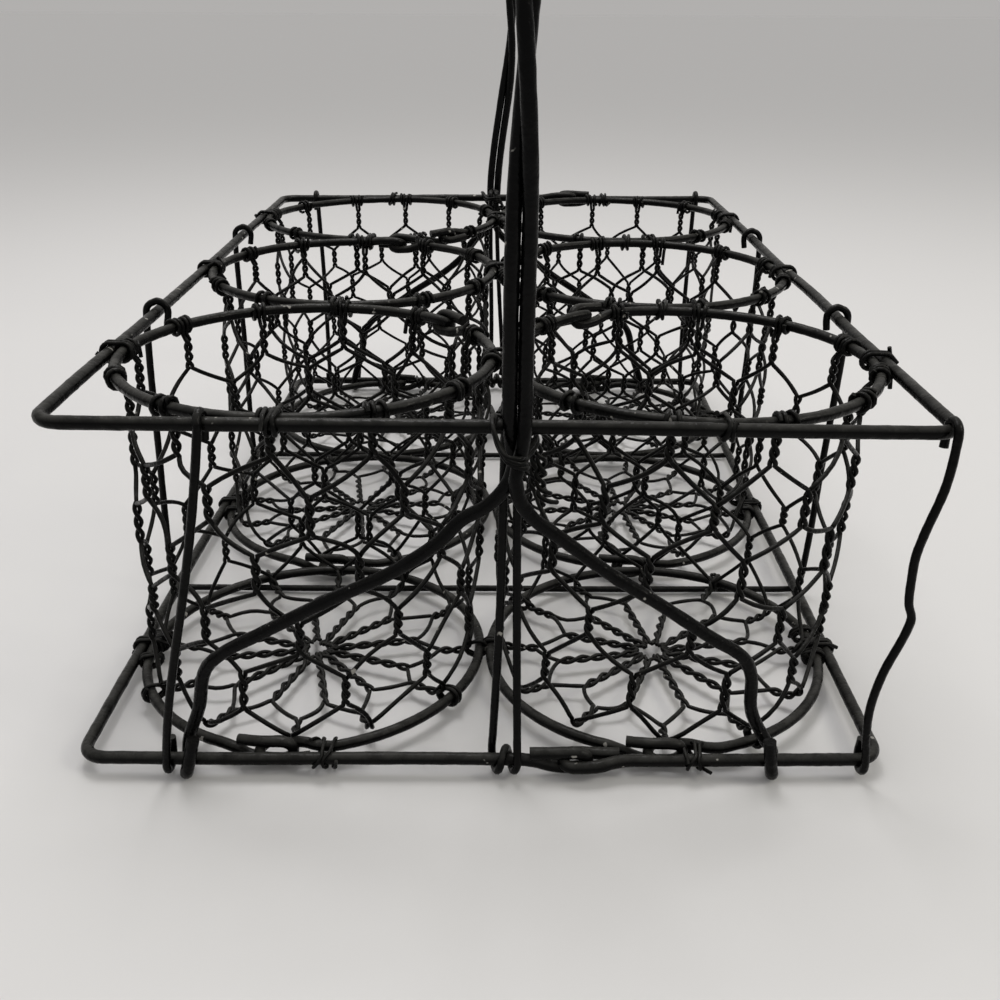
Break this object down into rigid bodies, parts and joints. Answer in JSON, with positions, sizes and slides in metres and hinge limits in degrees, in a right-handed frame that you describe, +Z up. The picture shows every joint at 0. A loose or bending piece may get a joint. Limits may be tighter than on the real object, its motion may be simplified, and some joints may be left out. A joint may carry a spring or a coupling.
{
  "type": "wire plant caddy",
  "caption": "Open wire carrier for small round pots: hexagonal-net cups on rings between two rectangular rod frames, carried by a twisted two-strand arched handle.",
  "frame": {"origin": "on the surface the caddy stands on, under the middle of the caddy", "axes": "+Z up; Y along the caddy and along the handle; X across it; -Y is the end towards the camera"},
  "size_m": [0.1804, 0.2766, 0.2509],
  "materials": {
    "rail_paint": "satin black paint on steel rod, chipped at the bends",
    "ring_paint": "satin black paint on steel wire, rubbed on the outside",
    "net_paint": "thick satin black paint on thin galvanised wire netting",
    "handle_paint": "satin black paint on steel rod, smoother where it is held",
    "post_paint": "satin black paint on steel wire",
    "tie_paint": "satin black paint on thin binding wire"
  },
  "bodies": {
    "root": {"top_frame": "rail_paint", "bottom_frame": "rail_paint", "rim_ring_front_left": "ring_paint", "rim_ring_front_right": "ring_paint", "rim_ring_middle_left": "ring_paint", "rim_ring_middle_right": "ring_paint", "rim_ring_back_left": "ring_paint", "rim_ring_back_right": "ring_paint", "base_ring_front_left": "ring_paint", "base_ring_front_right": "ring_paint", "base_ring_middle_left": "ring_paint", "base_ring_middle_right": "ring_paint", "base_ring_back_left": "ring_paint", "base_ring_back_right": "ring_paint", "net_cup_front_left": "net_paint", "net_cup_front_right": "net_paint", "net_cup_middle_left": "net_paint", "net_cup_middle_right": "net_paint", "net_cup_back_left": "net_paint", "net_cup_back_right": "net_paint", "handle_strand_left": "handle_paint", "handle_strand_right": "handle_paint", "cross_frame_front": "post_paint", "cross_frame_back": "post_paint", "centre_post_front": "post_paint", "centre_post_back": "post_paint", "corner_post_front_left": "post_paint", "corner_post_front_right": "post_paint", "corner_post_back_left": "post_paint", "corner_post_back_right": "post_paint", "handle_binding_front": "tie_paint", "handle_binding_back": "tie_paint", "tie_rim_side_front_left": "tie_paint", "tie_rim_side_front_right": "tie_paint", "tie_rim_side_middle_left": "tie_paint", "tie_rim_side_middle_right": "tie_paint", "tie_rim_side_back_left": "tie_paint", "tie_rim_side_back_right": "tie_paint", "tie_rim_end_front_left": "tie_paint", "tie_rim_end_front_right": "tie_paint", "tie_rim_end_back_left": "tie_paint", "tie_rim_end_back_right": "tie_paint", "tie_base_side_front_left": "tie_paint", "tie_base_side_front_right": "tie_paint", "tie_base_side_middle_left": "tie_paint", "tie_base_side_middle_right": "tie_paint", "tie_base_side_back_left": "tie_paint", "tie_base_side_back_right": "tie_paint", "tie_base_end_front_left": "tie_paint", "tie_base_end_front_right": "tie_paint", "tie_base_end_back_left": "tie_paint", "tie_base_end_back_right": "tie_paint", "tie_rims_behind_front_left": "tie_paint", "tie_rims_behind_front_right": "tie_paint", "tie_rims_behind_middle_left": "tie_paint", "tie_rims_behind_middle_right": "tie_paint", "tie_rims_right_of_front_left": "tie_paint", "tie_rims_right_of_middle_left": "tie_paint", "tie_rims_right_of_back_left": "tie_paint"}
  },
  "joints": []
}
